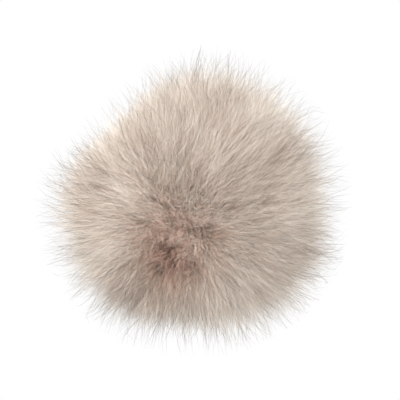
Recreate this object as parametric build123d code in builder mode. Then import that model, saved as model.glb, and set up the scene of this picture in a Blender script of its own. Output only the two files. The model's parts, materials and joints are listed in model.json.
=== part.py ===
from build123d import *

# Furry ball windscreen for a pencil microphone.
#
# A moulded ball cage in two halves, lined with foam and skinned with gauze, keeps still air
# round the microphone's head. A rubber bush in the collar at the back grips the microphone,
# squeezed by a clamp nut. Over the ball goes a cover sewn from four gores of long-pile fur,
# closed behind the ball by an elastic cord with a sprung cord lock.
#
# Frame, in millimetres: the origin is the centre of the bore's mouth, where the microphone
# goes in. +Y is the way the microphone leaves, -Y is the nose of the ball and +Z is up.

import os
from math import asin, cos, degrees, radians, sin

os.makedirs("parts", exist_ok=True)

# ---- Driving dimensions ----------------------------------------------------------------

MIC_R = 9.5  # a 19 mm pencil microphone
CAGE_R = 40.0  # outside of the ball cage
CAGE_WALL = 2.2
PILE_R = 62.0  # where the fur's pile is still dense
MOUTH = 56.0  # from the ball's centre to the mouth of the bore

RIB_WIDTH = 1.8
# Rows of windows in each half cage: from one latitude to another in degrees, and how many.
FRONT_WINDOWS = [(-75, -62, 8), (-59, -44, 16), (-41, -26, 16), (-23, -10, 16)]
REAR_WINDOWS = [(10, 23, 16), (26, 41, 16)]

# ---- The ball --------------------------------------------------------------------------

GAUZE_CLEARANCE, GAUZE_THICKNESS = 0.15, 0.45
FOAM_CLEARANCE, FOAM_THICKNESS = 0.4, 3.8
BACKING_R = CAGE_R + 1.0  # inside of the fur fabric
SPLIT_GAP = 0.1  # each half cage stops this far short of the equator
# Latitudes in degrees, counted from the equator towards the rear pole.
FRONT_FOAM_EDGE, REAR_FOAM_EDGES = -9.0, (8.0, 50.0)
GAUZE_EDGE, GAUZE_LAP = 0.6, 0.5
SEAM_GAP = 0.15  # degrees left open on each side of a gore's seam
CROWN_PINHOLE = 0.5  # degrees left open where the four gores meet
REAR_OPENING = 30.0  # half angle of the cone left open behind the ball, from the +Y axis

# ---- The bayonet that joins the half cages ---------------------------------------------

SPIGOT_OUTER, SPIGOT_INNER, SPIGOT_DEPTH = 37.6, 35.6, 4.5
FRONT_RIM_INNER, FRONT_RIM_DEPTH = 38.0, 6.0
REAR_RIM_DEPTH = 4.0
LUG_COUNT, LUG_ARC, LUG_TOP = 3, 8.0, 38.8
LUG_NEAR, LUG_FAR = 2.4, 3.8  # in front of the equator
BAYONET_TWIST = 20.0
GROOVE_SLACK, GROOVE_DEPTH, GROOVE_ARC_SLACK = 0.2, 39.1, 0.5

# ---- Collar, bush and clamp nut, along the axis from the ball's centre -----------------

PLATE_FACE, PLATE_THICKNESS, PLATE_BORE = 34.0, 2.5, 15.6
BOSS_R, BOSS_LENGTH = 2.5, 4.0
FLANGE_R, FLANGE_THICKNESS = 19.5, 2.0
COLLAR_R, COLLAR_BORE, COLLAR_END = 14.3, 12.3, 52.0
COLLAR_SPIGOT_R, COLLAR_INNER_END = 15.4, 29.5
COLLAR_LIP_R, COLLAR_LIP_FACE = 10.8, 32.0
SCREW_CIRCLE_R, SCREW_COUNT, SCREW_R, SCREW_LENGTH = 17.2, 4, 1.0, 7.0
SCREW_HEAD_R, SCREW_HEAD_HEIGHT, SCREW_HEAD_ROUND = 1.8, 1.3, 0.5
SCREW_CROSS_LENGTH, SCREW_CROSS_WIDTH, SCREW_CROSS_DEPTH = 2.0, 0.45, 0.7
SCREW_PILOT_GAP, SCREW_CLEARANCE = 0.03, 0.2  # round the thread in the boss, in the flange
BUSH_R, BUSH_SHOULDER_R, BUSH_START = 12.1, 13.6, 32.2
BUSH_LEAD_IN, BUSH_CHAMFER, BUSH_SHOULDER_GAP = 1.0, 0.8, 0.1
BUSH_GROOVES, BUSH_GROOVE_DEPTH, BUSH_GROOVE_WIDTH = 4, 1.1, 1.8
SLIP_GAP = 0.05
WASHER_THICKNESS, WASHER_INNER, WASHER_OUTER = 1.25, 10.6, 13.9
NUT_R, NUT_BORE, NUT_START, NUT_WALL, NUT_APERTURE = 16.6, 14.45, 43.6, 2.5, 11.4
NUT_CHAMFER, NUT_END_CHAMFER = 0.8, 1.5
NUT_SCALLOPS, SCALLOP_R, SCALLOP_CENTRE_R = 14, 1.5, 17.5

# ---- Hem and drawcord ------------------------------------------------------------------

HEM_RING_R, HEM_FROM_CENTRE = 17.1, 40.4
HEM_OUTER, HEM_CHANNEL = 2.6, 1.6
HEM_MOUTH = 16.0  # degrees on each side of the bottom where the channel is open
CORD_R = 1.0
CORD_SPACING = 2.3  # each tail's distance from the middle plane
TAIL_DROOP = 40.0  # degrees below the axis
TAIL_START = (43.0, -19.6)  # distance from the ball's centre, height
TAIL_LENGTH = 51.0

# ---- Cord lock -------------------------------------------------------------------------

LOCK_AT = 30.0  # along the tails
LOCK_R, LOCK_BOTTOM, LOCK_TOP = 6.5, -11.0, 6.0
LOCK_BORE, LOCK_FLOOR = 4.6, -9.3
LOCK_SLOT_WIDTH, LOCK_SLOT_HEIGHT = 7.2, 2.7
PLUNGER_R, PLUNGER_BOTTOM, PLUNGER_TRAVEL = 4.45, -4.2, 2.6
BUTTON_R, BUTTON_UNDERSIDE, BUTTON_TOP = 5.6, 9.4, 12.2
PINCH_GAP = 0.05  # between the released plunger and the cords it holds
LOCK_BOTTOM_ROUND, LOCK_TOP_ROUND, BUTTON_ROUND = 2.0, 0.6, 1.2
SPRING_R, SPRING_WIRE_R, SPRING_TURNS = 3.2, 0.25, 3.5
BELL_AT, BELL_WIDTH, BELL_THICKNESS, BELL_LENGTH = 47.0, 8.8, 4.8, 9.5
BELL_TAPER, BELL_ROUND, BELL_CORD_GAP = 5, 1.2, 0.03
BELL_HOLE_DEPTH = TAIL_LENGTH - BELL_AT + 0.1

# ---- Pull tab --------------------------------------------------------------------------

TAB_LENGTH, TAB_THICKNESS, TAB_WEBBING, TAB_WIDTH = 15.0, 2.8, 0.8, 9.0
TAB_LEAN = 24.0  # degrees away from the axis

BALL_CENTRE = Vector(0, -MOUTH, 0)


def half_plane(turn):
    """A plane through the axis with its origin at the ball's centre: local x leads outwards,
    turned this many degrees from +Z towards +X, and local y is +Y."""
    a = radians(turn)
    return Plane(BALL_CENTRE, x_dir=(sin(a), 0, cos(a)), z_dir=(-cos(a), 0, sin(a)))


def cross_plane(along):
    """A plane square to the axis, this far behind the ball's centre, facing +Y."""
    return Plane((0, along - MOUTH, 0), x_dir=(1, 0, 0), z_dir=(0, 1, 0))


def dome(inner, outer, low, high, turn=0.0):
    """The area between two radii from one latitude to another, +90 being the rear pole."""
    with BuildSketch(half_plane(turn)) as area:
        with BuildLine():
            over = CenterArc((0, 0), outer, low, high - low)
            under = CenterArc((0, 0), inner, low, high - low)
            Line(over @ 0, under @ 0)
            Line(over @ 1, under @ 1)
        make_face()
    return area.sketch


def band(inner, outer, start, end, turn=0.0):
    """A rectangle from radius inner to outer and from start to end along the axis."""
    with BuildSketch(half_plane(turn)) as area:
        with Locations(((inner + outer) / 2, (start + end) / 2)):
            Rectangle(outer - inner, end - start)
    return area.sketch


def lathe(corners):
    """A turned profile through corners given as (radius, distance from the ball's centre)."""
    with BuildSketch(half_plane(0)) as area:
        with BuildLine():
            Polyline(*corners, close=True)
        make_face()
    return area.sketch


def write(piece, label):
    """Names a finished piece and writes its STEP file."""
    piece.label = label
    export_step(piece, f"parts/{label}.step")


# ---- Half cages ------------------------------------------------------------------------

CAGE_INNER = CAGE_R - CAGE_WALL


def latitude(along, radius):
    """The latitude at which a sphere about the ball's centre is this far along the axis."""
    return degrees(asin(along / radius))


PLATE_LATITUDE = latitude(PLATE_FACE, CAGE_R)


def lattice(low, high, windows):
    """The windows between two latitudes of the cage, leaving ribs of an even width between
    them, as one list of solids."""
    middle = radians((low + high) / 2)
    rib_angle = degrees(RIB_WIDTH / (CAGE_R * cos(middle)))
    pitch = 360 / windows
    outline = dome(CAGE_INNER - 1, CAGE_R + 1, low, high, turn=rib_angle / 2)
    first = revolve(
        outline, axis=Axis.Y, revolution_arc=pitch - rib_angle, mode=Mode.PRIVATE
    )
    return [first.rotate(Axis.Y, step * pitch) for step in range(windows)]


with BuildPart() as front_cage:
    with BuildSketch(half_plane(0)):
        with BuildLine():
            outside = CenterArc((0, 0), CAGE_R, -90, 90 - latitude(SPLIT_GAP, CAGE_R))
            inside = CenterArc(
                (0, 0), CAGE_INNER, -90, 90 - latitude(FRONT_RIM_DEPTH, CAGE_INNER)
            )
            Line(outside @ 0, inside @ 0)
            Polyline(
                inside @ 1,
                (FRONT_RIM_INNER, -FRONT_RIM_DEPTH),
                (FRONT_RIM_INNER, -SPLIT_GAP),
                outside @ 1,
            )
        make_face()
    revolve(axis=Axis.Y)
    for low, high, windows in FRONT_WINDOWS:
        add(lattice(low, high, windows), mode=Mode.SUBTRACT)
    for lug in range(LUG_COUNT):
        locked = lug * 360 / LUG_COUNT
        reach = LUG_ARC / 2 + GROOVE_ARC_SLACK
        near, far = -LUG_NEAR + GROOVE_SLACK, -LUG_FAR - GROOVE_SLACK
        start = locked - BAYONET_TWIST - reach
        groove = band(SPIGOT_OUTER, GROOVE_DEPTH, far, near, turn=start)
        revolve(
            groove,
            axis=Axis.Y,
            revolution_arc=BAYONET_TWIST + 2 * reach,
            mode=Mode.SUBTRACT,
        )
        entry = band(SPIGOT_OUTER, GROOVE_DEPTH, far, 0, turn=start)
        revolve(entry, axis=Axis.Y, revolution_arc=2 * reach, mode=Mode.SUBTRACT)
write(front_cage.part, "front_cage")

with BuildPart() as rear_cage:
    with BuildSketch(half_plane(0)):
        with BuildLine():
            split = latitude(SPLIT_GAP, CAGE_R)
            outside = CenterArc((0, 0), CAGE_R, split, PLATE_LATITUDE - split)
            rim = latitude(REAR_RIM_DEPTH, CAGE_INNER)
            plate_back = latitude(PLATE_FACE - PLATE_THICKNESS, CAGE_INNER)
            inside = CenterArc((0, 0), CAGE_INNER, rim, plate_back - rim)
            Polyline(
                outside @ 1,
                (PLATE_BORE, PLATE_FACE),
                (PLATE_BORE, PLATE_FACE - PLATE_THICKNESS),
                inside @ 1,
            )
            Polyline(
                inside @ 0,
                (SPIGOT_INNER, REAR_RIM_DEPTH),
                (SPIGOT_INNER, -SPIGOT_DEPTH),
                (SPIGOT_OUTER, -SPIGOT_DEPTH),
                (SPIGOT_OUTER, SPLIT_GAP),
                outside @ 0,
            )
        make_face()
    revolve(axis=Axis.Y)
    for low, high, windows in REAR_WINDOWS:
        add(lattice(low, high, windows), mode=Mode.SUBTRACT)
    for lug in range(LUG_COUNT):
        lug_profile = band(
            SPIGOT_OUTER - 0.5,
            LUG_TOP,
            -LUG_FAR,
            -LUG_NEAR,
            turn=lug * 360 / LUG_COUNT - LUG_ARC / 2,
        )
        revolve(lug_profile, axis=Axis.Y, revolution_arc=LUG_ARC)
    with BuildSketch(cross_plane(PLATE_FACE - 1)):
        with PolarLocations(SCREW_CIRCLE_R, SCREW_COUNT, start_angle=45):
            Circle(BOSS_R)
        Circle(PLATE_BORE, mode=Mode.SUBTRACT)
    extrude(amount=1 - PLATE_THICKNESS - BOSS_LENGTH)
    with BuildSketch(cross_plane(PLATE_FACE)):
        with PolarLocations(SCREW_CIRCLE_R, SCREW_COUNT, start_angle=45):
            Circle(SCREW_R + SCREW_PILOT_GAP)
    extrude(amount=-PLATE_THICKNESS - BOSS_LENGTH, mode=Mode.SUBTRACT)
write(rear_cage.part, "rear_cage")

# ---- Foam lining and gauze skin --------------------------------------------------------

FOAM_OUTER = CAGE_INNER - FOAM_CLEARANCE
FOAM_INNER = FOAM_OUTER - FOAM_THICKNESS
GAUZE_INNER = CAGE_R + GAUZE_CLEARANCE
GAUZE_OUTER = GAUZE_INNER + GAUZE_THICKNESS

with BuildPart() as front_foam:
    revolve(dome(FOAM_INNER, FOAM_OUTER, -90, FRONT_FOAM_EDGE), axis=Axis.Y)
write(front_foam.part, "front_foam")

with BuildPart() as rear_foam:
    revolve(dome(FOAM_INNER, FOAM_OUTER, *REAR_FOAM_EDGES), axis=Axis.Y)
write(rear_foam.part, "rear_foam")

with BuildPart() as front_gauze:
    revolve(dome(GAUZE_INNER, GAUZE_OUTER, -90, -GAUZE_EDGE), axis=Axis.Y)
write(front_gauze.part, "front_gauze")

with BuildPart() as rear_gauze:
    rear_gauze_outline = dome(
        GAUZE_INNER, GAUZE_OUTER, GAUZE_EDGE, PLATE_LATITUDE + GAUZE_LAP
    )
    revolve(rear_gauze_outline, axis=Axis.Y)
write(rear_gauze.part, "rear_gauze")

# ---- Collar that carries the microphone, and its screws --------------------------------

with BuildPart() as collar:
    revolve(
        lathe(
            [
                (COLLAR_LIP_R, COLLAR_INNER_END),
                (COLLAR_SPIGOT_R, COLLAR_INNER_END),
                (COLLAR_SPIGOT_R, PLATE_FACE),
                (FLANGE_R, PLATE_FACE),
                (FLANGE_R, PLATE_FACE + FLANGE_THICKNESS),
                (COLLAR_R, PLATE_FACE + FLANGE_THICKNESS),
                (COLLAR_R, COLLAR_END),
                (COLLAR_BORE, COLLAR_END),
                (COLLAR_BORE, COLLAR_LIP_FACE),
                (COLLAR_LIP_R, COLLAR_LIP_FACE),
            ]
        ),
        axis=Axis.Y,
    )
    with BuildSketch(cross_plane(PLATE_FACE + FLANGE_THICKNESS)):
        with PolarLocations(SCREW_CIRCLE_R, SCREW_COUNT, start_angle=45):
            Circle(SCREW_R + SCREW_CLEARANCE)
    extrude(amount=-FLANGE_THICKNESS, mode=Mode.SUBTRACT)
write(collar.part, "collar")

with BuildPart() as collar_screws:
    seat = cross_plane(PLATE_FACE + FLANGE_THICKNESS)
    with BuildSketch(seat):
        with PolarLocations(SCREW_CIRCLE_R, SCREW_COUNT, start_angle=45):
            Circle(SCREW_R)
    extrude(amount=-SCREW_LENGTH)
    with BuildSketch(seat):
        with PolarLocations(SCREW_CIRCLE_R, SCREW_COUNT, start_angle=45):
            Circle(SCREW_HEAD_R)
    extrude(amount=SCREW_HEAD_HEIGHT)
    head_tops = collar_screws.faces().sort_by(Axis.Y)[-SCREW_COUNT:]
    fillet(head_tops.edges(), SCREW_HEAD_ROUND)
    with BuildSketch(seat.offset(SCREW_HEAD_HEIGHT)):
        with PolarLocations(SCREW_CIRCLE_R, SCREW_COUNT, start_angle=45):
            Rectangle(SCREW_CROSS_LENGTH, SCREW_CROSS_WIDTH)
            Rectangle(SCREW_CROSS_WIDTH, SCREW_CROSS_LENGTH)
    extrude(amount=-SCREW_CROSS_DEPTH, mode=Mode.SUBTRACT)
write(collar_screws.part, "collar_screws")

# ---- Rubber bush that grips the microphone ---------------------------------------------

with BuildPart() as mic_bush:
    revolve(
        lathe(
            [
                (MIC_R + BUSH_LEAD_IN, BUSH_START),
                (BUSH_R, BUSH_START),
                (BUSH_R, COLLAR_END + BUSH_SHOULDER_GAP),
                (BUSH_SHOULDER_R, COLLAR_END + BUSH_SHOULDER_GAP),
                (BUSH_SHOULDER_R, MOUTH - BUSH_CHAMFER),
                (BUSH_SHOULDER_R - BUSH_CHAMFER, MOUTH),
                (MIC_R, MOUTH),
                (MIC_R, BUSH_START + BUSH_LEAD_IN),
            ]
        ),
        axis=Axis.Y,
    )
    groove_pitch = (COLLAR_END - BUSH_START) / (BUSH_GROOVES + 1)
    for groove in range(1, BUSH_GROOVES + 1):
        middle = BUSH_START + groove * groove_pitch
        relief = band(
            BUSH_R - BUSH_GROOVE_DEPTH,
            BUSH_R + 0.1,
            middle - BUSH_GROOVE_WIDTH / 2,
            middle + BUSH_GROOVE_WIDTH / 2,
        )
        revolve(relief, axis=Axis.Y, mode=Mode.SUBTRACT)
write(mic_bush.part, "mic_bush")

# ---- Slip washer and clamp nut ---------------------------------------------------------

WASHER_START = MOUTH + SLIP_GAP
NUT_WALL_START = WASHER_START + WASHER_THICKNESS + SLIP_GAP
NUT_END = NUT_WALL_START + NUT_WALL

with BuildPart() as slip_washer:
    revolve(
        band(WASHER_INNER, WASHER_OUTER, WASHER_START, WASHER_START + WASHER_THICKNESS),
        axis=Axis.Y,
    )
write(slip_washer.part, "slip_washer")

with BuildPart() as clamp_nut:
    revolve(
        lathe(
            [
                (NUT_BORE, NUT_START),
                (NUT_R - NUT_CHAMFER, NUT_START),
                (NUT_R, NUT_START + NUT_CHAMFER),
                (NUT_R, NUT_END - NUT_END_CHAMFER),
                (NUT_R - NUT_END_CHAMFER, NUT_END),
                (NUT_APERTURE + NUT_CHAMFER, NUT_END),
                (NUT_APERTURE, NUT_END - NUT_CHAMFER),
                (NUT_APERTURE, NUT_WALL_START),
                (NUT_BORE, NUT_WALL_START),
            ]
        ),
        axis=Axis.Y,
    )
    with BuildSketch(cross_plane(NUT_START)):
        with PolarLocations(SCALLOP_CENTRE_R, NUT_SCALLOPS):
            Circle(SCALLOP_R)
    extrude(amount=NUT_END - NUT_START, mode=Mode.SUBTRACT)
write(clamp_nut.part, "clamp_nut")

# ---- Fur cover: four gores whose points meet at the crown ------------------------------

GORES = {"top": 0.0, "right": 90.0, "bottom": 180.0, "left": 270.0}

for side, middle in GORES.items():
    with BuildPart() as fur_gore:
        outline = dome(
            BACKING_R,
            PILE_R,
            -90 + CROWN_PINHOLE,
            90 - REAR_OPENING,
            turn=middle - 45 + SEAM_GAP,
        )
        revolve(outline, axis=Axis.Y, revolution_arc=90 - 2 * SEAM_GAP)
    write(fur_gore.part, f"fur_gore_{side}")

# ---- Hem: a skirt from the gores' edge, rolled into a channel for the cord -------------

HEM_CENTRE = (HEM_RING_R, HEM_FROM_CENTRE)
SKIRT_EDGE, SKIRT_ROLL, SKIRT_HALF = (20.2, 36.3), (18.6, 38.9), 0.35

with BuildPart() as hem:
    with BuildSketch(half_plane(0)):
        with BuildLine():
            skirt_line = Line(SKIRT_EDGE, SKIRT_ROLL)
            offset(skirt_line, amount=SKIRT_HALF, kind=Kind.ARC, mode=Mode.REPLACE)
        make_face()
    revolve(axis=Axis.Y)
    with BuildSketch(half_plane(180 + HEM_MOUTH)):
        with Locations(HEM_CENTRE):
            Circle(HEM_OUTER)
    revolve(axis=Axis.Y, revolution_arc=360 - 2 * HEM_MOUTH)
    with BuildSketch(half_plane(180 + HEM_MOUTH)):
        with Locations(HEM_CENTRE):
            Circle(HEM_CHANNEL)
    revolve(axis=Axis.Y, revolution_arc=360 - 2 * HEM_MOUTH, mode=Mode.SUBTRACT)
write(hem.part, "hem")

with BuildPart() as pull_tab:
    tab_along = HEM_OUTER + 0.1 + TAB_LENGTH / 2
    tab_plane = half_plane(0).shift_origin(
        half_plane(0).from_local_coords(
            Vector(
                HEM_RING_R + tab_along * sin(radians(TAB_LEAN)),
                HEM_FROM_CENTRE + tab_along * cos(radians(TAB_LEAN)),
            )
        )
    )
    with BuildSketch(tab_plane):
        with Locations(Rotation(0, 0, 90 - TAB_LEAN)):
            SlotOverall(TAB_LENGTH, TAB_THICKNESS)
            SlotOverall(
                TAB_LENGTH - 2 * TAB_WEBBING,
                TAB_THICKNESS - 2 * TAB_WEBBING,
                mode=Mode.SUBTRACT,
            )
    extrude(amount=TAB_WIDTH / 2, both=True)
write(pull_tab.part, "pull_tab")

# ---- Drawcord: round the hem's channel, then two tails side by side --------------------

TAIL_ALONG = Vector(0, cos(radians(TAIL_DROOP)), -sin(radians(TAIL_DROOP)))
TAIL_UP = Vector(0, sin(radians(TAIL_DROOP)), cos(radians(TAIL_DROOP)))


def on_tails(along, sideways=0.0):
    """A point on the tails' line, this far from where they start."""
    return (
        Vector(sideways, TAIL_START[0] - MOUTH, TAIL_START[1]) + TAIL_ALONG * along
    )


def on_hem(turn):
    """A point on the middle of the hem's channel, this many degrees from +Z towards +X."""
    a = radians(turn)
    return Vector(
        HEM_RING_R * sin(a), HEM_FROM_CENTRE - MOUTH, HEM_RING_R * cos(a)
    )


with BuildPart() as drawcord:
    left_mouth, right_mouth = 180 + HEM_MOUTH, 180 - HEM_MOUTH
    turn_in = radians(HEM_MOUTH)
    with BuildLine() as cord_path:
        Line(on_tails(TAIL_LENGTH, -CORD_SPACING), on_tails(0, -CORD_SPACING))
        Spline(
            on_tails(0, -CORD_SPACING),
            on_hem(left_mouth),
            tangents=[-TAIL_ALONG, Vector(-cos(turn_in), 0, sin(turn_in))],
            tangent_scalars=[0.9, 0.9],
        )
        ThreePointArc(on_hem(left_mouth), on_hem(0), on_hem(right_mouth))
        Spline(
            on_hem(right_mouth),
            on_tails(0, CORD_SPACING),
            tangents=[Vector(-cos(turn_in), 0, -sin(turn_in)), TAIL_ALONG],
            tangent_scalars=[0.9, 0.9],
        )
        Line(on_tails(0, CORD_SPACING), on_tails(TAIL_LENGTH, CORD_SPACING))
    with BuildSketch(
        Plane(on_tails(TAIL_LENGTH, -CORD_SPACING), x_dir=(1, 0, 0), z_dir=-TAIL_ALONG)
    ):
        Circle(CORD_R)
    sweep(path=cord_path.wires()[0])
write(drawcord.part, "drawcord")

# ---- Cord lock -------------------------------------------------------------------------

# Seen from the lock, local x runs across the tails, local y along them and local z up the plunger.
LOCK_PLANE = Plane(on_tails(LOCK_AT), x_dir=(1, 0, 0), z_dir=TAIL_UP)
ALONG_TAILS = Plane(on_tails(LOCK_AT), x_dir=(1, 0, 0), z_dir=TAIL_ALONG)

with BuildPart() as lock_body:
    with BuildSketch(LOCK_PLANE.offset(LOCK_BOTTOM)):
        Circle(LOCK_R)
    extrude(amount=LOCK_TOP - LOCK_BOTTOM)
    lock_axis = Axis(on_tails(LOCK_AT), TAIL_UP)
    ends = lock_body.faces().filter_by(GeomType.PLANE).sort_by(lock_axis)
    fillet(ends[0].edges(), LOCK_BOTTOM_ROUND)
    fillet(ends[-1].edges(), LOCK_TOP_ROUND)
    with BuildSketch(LOCK_PLANE.offset(LOCK_FLOOR)):
        Circle(LOCK_BORE)
    extrude(amount=LOCK_TOP - LOCK_FLOOR, mode=Mode.SUBTRACT)
    with BuildSketch(ALONG_TAILS):
        SlotOverall(LOCK_SLOT_WIDTH, LOCK_SLOT_HEIGHT)
    extrude(amount=LOCK_R + 1, both=True, mode=Mode.SUBTRACT)
write(lock_body.part, "lock_body")

with BuildPart() as lock_plunger:
    with BuildSketch(LOCK_PLANE.offset(PLUNGER_BOTTOM)):
        Circle(PLUNGER_R)
    extrude(amount=BUTTON_UNDERSIDE - PLUNGER_BOTTOM)
    with BuildSketch(LOCK_PLANE.offset(BUTTON_UNDERSIDE)):
        Circle(BUTTON_R)
    extrude(amount=BUTTON_TOP - BUTTON_UNDERSIDE)
    button_top = lock_plunger.faces().filter_by(GeomType.PLANE).sort_by(lock_axis)[-1]
    fillet(button_top.edges(), BUTTON_ROUND)
    slot_low = -CORD_R - PINCH_GAP
    slot_high = CORD_R + PLUNGER_TRAVEL + 3 * PINCH_GAP
    with BuildSketch(LOCK_PLANE.offset(slot_low)):
        Rectangle(2 * (CORD_SPACING + CORD_R + 0.2), 2 * PLUNGER_R + 1)
    extrude(amount=slot_high - slot_low, mode=Mode.SUBTRACT)
write(lock_plunger.part, "lock_plunger")

with BuildPart() as lock_spring:
    spring_rise = PLUNGER_BOTTOM - LOCK_FLOOR - 2 * SPRING_WIRE_R - 2 * PINCH_GAP
    spring_base = LOCK_PLANE.offset(LOCK_FLOOR + SPRING_WIRE_R + PINCH_GAP)
    with BuildLine() as coil:
        Helix(
            pitch=spring_rise / SPRING_TURNS,
            height=spring_rise,
            radius=SPRING_R,
            center=spring_base.origin,
            direction=TAIL_UP,
        )
    with BuildSketch(Plane(coil.edge() @ 0, z_dir=coil.edge() % 0)):
        Circle(SPRING_WIRE_R)
    sweep(path=coil.edge(), is_frenet=True)
write(lock_spring.part, "lock_spring")

with BuildPart() as cord_end:
    with BuildSketch(ALONG_TAILS.offset(BELL_AT - LOCK_AT)):
        RectangleRounded(BELL_WIDTH, BELL_THICKNESS, BELL_THICKNESS / 2 - 0.1)
    extrude(amount=BELL_LENGTH, taper=BELL_TAPER)
    tails_axis = Axis(on_tails(0), TAIL_ALONG)
    bell_ends = cord_end.faces().filter_by(GeomType.PLANE).sort_by(tails_axis)
    fillet(bell_ends[-1].edges(), BELL_ROUND)
    with BuildSketch(ALONG_TAILS.offset(BELL_AT - LOCK_AT)):
        with GridLocations(2 * CORD_SPACING, 0, 2, 1):
            Circle(CORD_R + BELL_CORD_GAP)
    extrude(amount=BELL_HOLE_DEPTH, mode=Mode.SUBTRACT)
write(cord_end.part, "cord_end")
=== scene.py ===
"""Furry ball windscreen: long-pile fur over a foam-lined basket, held by a rubber bush and clamp nut."""

import json
import math
from dataclasses import dataclass

import bpy
import numpy as np
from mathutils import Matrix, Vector
from mathutils.kdtree import KDTree


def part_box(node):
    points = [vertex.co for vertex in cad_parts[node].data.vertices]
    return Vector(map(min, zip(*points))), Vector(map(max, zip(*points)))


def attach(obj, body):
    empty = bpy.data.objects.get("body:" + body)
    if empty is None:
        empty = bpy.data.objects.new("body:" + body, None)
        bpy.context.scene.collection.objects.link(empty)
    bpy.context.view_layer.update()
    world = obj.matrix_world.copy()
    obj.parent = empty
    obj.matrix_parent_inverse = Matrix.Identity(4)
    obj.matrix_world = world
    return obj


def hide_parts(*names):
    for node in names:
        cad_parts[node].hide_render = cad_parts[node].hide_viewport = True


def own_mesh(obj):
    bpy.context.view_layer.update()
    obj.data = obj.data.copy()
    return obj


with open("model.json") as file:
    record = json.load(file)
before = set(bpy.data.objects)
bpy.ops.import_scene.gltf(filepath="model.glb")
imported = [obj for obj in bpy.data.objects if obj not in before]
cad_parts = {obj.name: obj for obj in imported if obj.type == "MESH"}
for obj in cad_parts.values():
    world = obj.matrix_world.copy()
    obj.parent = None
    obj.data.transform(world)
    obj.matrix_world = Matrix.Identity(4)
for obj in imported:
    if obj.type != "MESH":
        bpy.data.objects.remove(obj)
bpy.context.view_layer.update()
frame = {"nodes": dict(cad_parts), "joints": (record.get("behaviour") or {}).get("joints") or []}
MM = 0.001

# ---- Places taken from the frame ----

JOINTS = {joint["name"]: joint for joint in frame["joints"]}
BALL = np.array(JOINTS["cage_twist"]["pos_m"])  # the ball's centre
TAIL_ALONG = np.array(JOINTS["cord_lock_slide"]["axis"])  # down the drawcord's tails
TAIL_UP = -np.array(JOINTS["plunger_press"]["axis"])
GAUZE_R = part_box("front_gauze")[1].x
PILE_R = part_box("fur_gore_top")[1].z
NUT_LOW, NUT_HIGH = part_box("clamp_nut")
NUT_R = NUT_HIGH.x
LOCK_LOW, LOCK_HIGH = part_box("lock_body")
LOCK_CENTRE = np.array((LOCK_LOW + LOCK_HIGH) / 2)
CORD_LOW, CORD_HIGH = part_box("drawcord")
TAB_LOW, TAB_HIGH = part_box("pull_tab")
TAB_CENTRE = np.array((TAB_LOW + TAB_HIGH) / 2)

# ---- Sizes of the soft pieces ----

BACKING_R = GAUZE_R + 1.2 * MM
BACKING_THICK = 0.5 * MM
REAR_OPENING = math.radians(30.0)
WHOLE_COVER = math.pi - REAR_OPENING  # how far round from the nose the cover reaches
FARTHEST_HAIR = PILE_R + 11.0 * MM
STRANDS_PER_PIECE = 9000  # keeps each piece under 200,000 triangles

CORD_R = 1.0 * MM
CORD_TAIL = 51.0 * MM  # the straight length of each tail
CORD_SPACING = 2.3 * MM  # from the middle plane to each tail
BRAID_PITCH = 4.2 * MM

HEM_RING_R = CORD_HIGH.z - CORD_R  # the cord lies round the middle of the hem's channel
HEM_TUBE_R = 2.6 * MM
HEM_CHANNEL_R = 1.7 * MM
HEM_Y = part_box("hem")[1].y - HEM_TUBE_R
HEM_MOUTH = math.radians(16.0)
HEM_ROWS = 900
TWILL_RIBS = 230
# Both ends of the hem's skirt, as a distance from the axis and a height along it.
SKIRT_TOP = np.array([BACKING_R * math.sin(REAR_OPENING), BALL[1] + BACKING_R * math.cos(REAR_OPENING)])
SKIRT_END = np.array([HEM_RING_R + 0.6 * HEM_TUBE_R, HEM_Y - 0.55 * HEM_TUBE_R])
SKIRT_HALF_THICK = 0.3 * MM
SKIRT_PUFF = 0.7 * MM

TAB_LEAN = math.radians(24.0)
TAB_THICK = 0.8 * MM
TAB_WIDTH = 9.0 * MM
TAB_REACH = 7.5 * MM - TAB_THICK / 2  # from the loop's middle to either end of it
TACK_PLACE = 3.6 * MM  # from the loop's middle, back and to each side
TAB_FORWARD = np.array([0, math.cos(TAB_LEAN), math.sin(TAB_LEAN)])
TAB_UP = np.array([0, -math.sin(TAB_LEAN), math.cos(TAB_LEAN)])

SPRING_WIRE_R = 0.25 * MM
SPRING_TURNS = 4.5
FOAM_R = 37.4 * MM
FOAM_THICK = 3.8 * MM
FOAM_RELIEF = 0.2 * MM  # room left on each side for the cells
NET_R = GAUZE_R - 0.22 * MM
NET_PITCH = 1.7 * MM
NET_WEAVE = 0.06 * MM
NET_EDGE_R = 0.21 * MM

# ---- Camera directions, which also place the ball's uneven outline ----

AZIMUTH, ELEVATION = math.radians(6.0), math.radians(24.0)
VIEW_BACK = np.array([
    math.sin(AZIMUTH) * math.cos(ELEVATION),
    -math.cos(AZIMUTH) * math.cos(ELEVATION),
    math.sin(ELEVATION),
])
VIEW_RIGHT = np.array([math.cos(AZIMUTH), math.sin(AZIMUTH), 0.0])
VIEW_UP = np.cross(VIEW_BACK, VIEW_RIGHT)
X_AXIS = np.array([1.0, 0, 0])
ANY_WAY = np.array([0.31, 0.52, 0.79])  # an arbitrary way, to start a strand's or tube's rings

# The crown, where the hair parts, is a little below the nose of the ball and to the left.
CROWN_DOWN, CROWN_LEFT = math.tan(math.radians(6.0)), math.tan(math.radians(6.0))
CROWN = np.array([-CROWN_LEFT, -1.0, -CROWN_DOWN])
CROWN /= np.linalg.norm(CROWN)
CROWN_SPREAD = 15.0  # degrees
CROWN_SHORTENING = 0.40
# The short pinkish wool that shows through the crown is centred a little above and right of it.
WOOL = CROWN + np.array([0.07, 0, 0.08])
WOOL /= np.linalg.norm(WOOL)
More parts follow.
